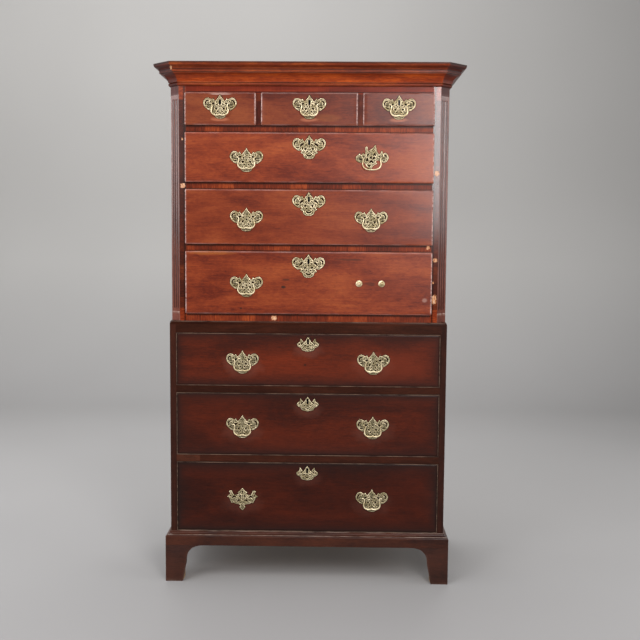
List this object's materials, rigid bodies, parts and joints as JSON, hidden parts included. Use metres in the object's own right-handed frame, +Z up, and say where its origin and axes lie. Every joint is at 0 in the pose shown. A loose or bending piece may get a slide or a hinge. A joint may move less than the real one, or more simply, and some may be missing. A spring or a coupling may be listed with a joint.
{
  "type": "chest on chest",
  "caption": "Tall mahogany chest on chest: short and long drawers with pierced brass plates and hanging bails, canted fluted corners, moulded cornice and bracket feet.",
  "frame": {"origin": "on the floor, in the middle of the overall width and depth", "axes": "+Z up, the drawers open towards -Y, +X to the right of someone who faces the chest"},
  "size_m": [1.112, 0.58, 1.88],
  "materials": {
    "upper_mahogany": "worn satin polish",
    "lower_mahogany": "worn satin polish",
    "upper_drawer_fronts": "worn satin polish",
    "lower_drawer_fronts": "worn satin polish",
    "crossbanded_rails": "short-grained crossbanding, chipped",
    "lower_rails": "worn satin polish",
    "cornice": "worn and chipped polish",
    "canted_posts": "dull worn polish",
    "waist_moulding": "worn through at the edge",
    "base_moulding": "worn at the edge",
    "feet": "dark worn polish",
    "oak_lining": "bare, dry",
    "pine": "bare, aged",
    "brass": "old lacquer, worn"
  },
  "bodies": {
    "lower_chest": {"lower_sides": "lower_mahogany", "lower_top_board": "pine", "lower_bottom_board": "pine", "lower_back_boards": "pine", "lower_rails": "lower_rails", "lower_dustboards": "pine", "waist_moulding": "waist_moulding", "base_moulding": "base_moulding", "front_feet": "feet", "rear_feet": "feet", "foot_blocks": "pine"},
    "upper_chest": {"upper_sides": "upper_mahogany", "upper_canted_posts": "canted_posts", "upper_top_board": "pine", "upper_bottom_board": "pine", "upper_back_boards": "pine", "upper_rails": "crossbanded_rails", "upper_dustboards": "pine", "upper_drawer_guides": "pine", "cornice": "cornice"},
    "lower_bottom_drawer": {"lower_bottom_drawer_front": "lower_drawer_fronts", "lower_bottom_drawer_lining": "oak_lining", "lower_bottom_drawer_brass": "brass"},
    "lower_bottom_bail_right": {"lower_bottom_bail_right": "brass"},
    "lower_middle_drawer": {"lower_middle_drawer_front": "lower_drawer_fronts", "lower_middle_drawer_lining": "oak_lining", "lower_middle_drawer_brass": "brass"},
    "lower_middle_bail_left": {"lower_middle_bail_left": "brass"},
    "lower_middle_bail_right": {"lower_middle_bail_right": "brass"},
    "lower_top_drawer": {"lower_top_drawer_front": "lower_drawer_fronts", "lower_top_drawer_lining": "oak_lining", "lower_top_drawer_brass": "brass"},
    "lower_top_bail_left": {"lower_top_bail_left": "brass"},
    "lower_top_bail_right": {"lower_top_bail_right": "brass"},
    "upper_bottom_drawer": {"upper_bottom_drawer_front": "upper_drawer_fronts", "upper_bottom_drawer_lining": "oak_lining", "upper_bottom_drawer_brass": "brass"},
    "upper_bottom_bail_left": {"upper_bottom_bail_left": "brass"},
    "upper_middle_drawer": {"upper_middle_drawer_front": "upper_drawer_fronts", "upper_middle_drawer_lining": "oak_lining", "upper_middle_drawer_brass": "brass"},
    "upper_middle_bail_left": {"upper_middle_bail_left": "brass"},
    "upper_middle_bail_right": {"upper_middle_bail_right": "brass"},
    "upper_top_drawer": {"upper_top_drawer_front": "upper_drawer_fronts", "upper_top_drawer_lining": "oak_lining", "upper_top_drawer_brass": "brass"},
    "upper_top_bail_left": {"upper_top_bail_left": "brass"},
    "upper_top_bail_right": {"upper_top_bail_right": "brass"},
    "short_left_drawer": {"short_left_drawer_front": "upper_drawer_fronts", "short_left_drawer_lining": "oak_lining", "short_left_drawer_brass": "brass"},
    "short_left_bail": {"short_left_bail": "brass"},
    "short_centre_drawer": {"short_centre_drawer_front": "upper_drawer_fronts", "short_centre_drawer_lining": "oak_lining", "short_centre_drawer_brass": "brass"},
    "short_centre_bail": {"short_centre_bail": "brass"},
    "short_right_drawer": {"short_right_drawer_front": "upper_drawer_fronts", "short_right_drawer_lining": "oak_lining", "short_right_drawer_brass": "brass"},
    "short_right_bail": {"short_right_bail": "brass"}
  },
  "joints": [
    {"name": "upper_chest_lift", "type": "slide", "parent": "lower_chest", "child": "upper_chest", "axis": [0, 0, 1], "range_m": [0, 0.15]},
    {"name": "lower_bottom_drawer_slide", "type": "slide", "parent": "lower_chest", "child": "lower_bottom_drawer", "axis": [0, -1, 0], "range_m": [0, 0.4]},
    {"name": "lower_bottom_bail_right_hinge", "type": "hinge", "parent": "lower_bottom_drawer", "child": "lower_bottom_bail_right", "pos_m": [0.238, -0.246, 0.317], "axis": [-1, 0, 0], "range_deg": [-5, 165]},
    {"name": "lower_middle_drawer_slide", "type": "slide", "parent": "lower_chest", "child": "lower_middle_drawer", "axis": [0, -1, 0], "range_m": [0, 0.4]},
    {"name": "lower_middle_bail_left_hinge", "type": "hinge", "parent": "lower_middle_drawer", "child": "lower_middle_bail_left", "pos_m": [-0.238, -0.246, 0.588], "axis": [-1, 0, 0], "range_deg": [-5, 165]},
    {"name": "lower_middle_bail_right_hinge", "type": "hinge", "parent": "lower_middle_drawer", "child": "lower_middle_bail_right", "pos_m": [0.238, -0.246, 0.588], "axis": [-1, 0, 0], "range_deg": [-5, 165]},
    {"name": "lower_top_drawer_slide", "type": "slide", "parent": "lower_chest", "child": "lower_top_drawer", "axis": [0, -1, 0], "range_m": [0, 0.4]},
    {"name": "lower_top_bail_left_hinge", "type": "hinge", "parent": "lower_top_drawer", "child": "lower_top_bail_left", "pos_m": [-0.238, -0.246, 0.826], "axis": [-1, 0, 0], "range_deg": [-5, 165]},
    {"name": "lower_top_bail_right_hinge", "type": "hinge", "parent": "lower_top_drawer", "child": "lower_top_bail_right", "pos_m": [0.238, -0.246, 0.826], "axis": [-1, 0, 0], "range_deg": [-5, 165]},
    {"name": "upper_bottom_drawer_slide", "type": "slide", "parent": "upper_chest", "child": "upper_bottom_drawer", "axis": [0, -1, 0], "range_m": [0, 0.4]},
    {"name": "upper_bottom_bail_left_hinge", "type": "hinge", "parent": "upper_bottom_drawer", "child": "upper_bottom_bail_left", "pos_m": [-0.223, -0.2513, 1.1055], "axis": [-1, 0, 0], "range_deg": [-5, 165]},
    {"name": "upper_middle_drawer_slide", "type": "slide", "parent": "upper_chest", "child": "upper_middle_drawer", "axis": [0, -1, 0], "range_m": [0, 0.4]},
    {"name": "upper_middle_bail_left_hinge", "type": "hinge", "parent": "upper_middle_drawer", "child": "upper_middle_bail_left", "pos_m": [-0.223, -0.2513, 1.3415], "axis": [-1, 0, 0], "range_deg": [-5, 165]},
    {"name": "upper_middle_bail_right_hinge", "type": "hinge", "parent": "upper_middle_drawer", "child": "upper_middle_bail_right", "pos_m": [0.223, -0.2513, 1.3415], "axis": [-1, 0, 0], "range_deg": [-5, 165]},
    {"name": "upper_top_drawer_slide", "type": "slide", "parent": "upper_chest", "child": "upper_top_drawer", "axis": [0, -1, 0], "range_m": [0, 0.4]},
    {"name": "upper_top_bail_left_hinge", "type": "hinge", "parent": "upper_top_drawer", "child": "upper_top_bail_left", "pos_m": [-0.223, -0.2513, 1.5525], "axis": [-1, 0, 0], "range_deg": [-5, 165]},
    {"name": "upper_top_bail_right_hinge", "type": "hinge", "parent": "upper_top_drawer", "child": "upper_top_bail_right", "pos_m": [0.223, -0.2513, 1.5525], "axis": [-1, 0, 0], "range_deg": [-5, 165]},
    {"name": "short_left_drawer_slide", "type": "slide", "parent": "upper_chest", "child": "short_left_drawer", "axis": [0, -1, 0], "range_m": [0, 0.4]},
    {"name": "short_left_bail_hinge", "type": "hinge", "parent": "short_left_drawer", "child": "short_left_bail", "pos_m": [-0.31725, -0.2513, 1.739], "axis": [-1, 0, 0], "range_deg": [-5, 165]},
    {"name": "short_centre_drawer_slide", "type": "slide", "parent": "upper_chest", "child": "short_centre_drawer", "axis": [0, -1, 0], "range_m": [0, 0.4]},
    {"name": "short_centre_bail_hinge", "type": "hinge", "parent": "short_centre_drawer", "child": "short_centre_bail", "pos_m": [0, -0.2513, 1.739], "axis": [-1, 0, 0], "range_deg": [-5, 165]},
    {"name": "short_right_drawer_slide", "type": "slide", "parent": "upper_chest", "child": "short_right_drawer", "axis": [0, -1, 0], "range_m": [0, 0.4]},
    {"name": "short_right_bail_hinge", "type": "hinge", "parent": "short_right_drawer", "child": "short_right_bail", "pos_m": [0.31725, -0.2513, 1.739], "axis": [-1, 0, 0], "range_deg": [-5, 165]}
  ]
}
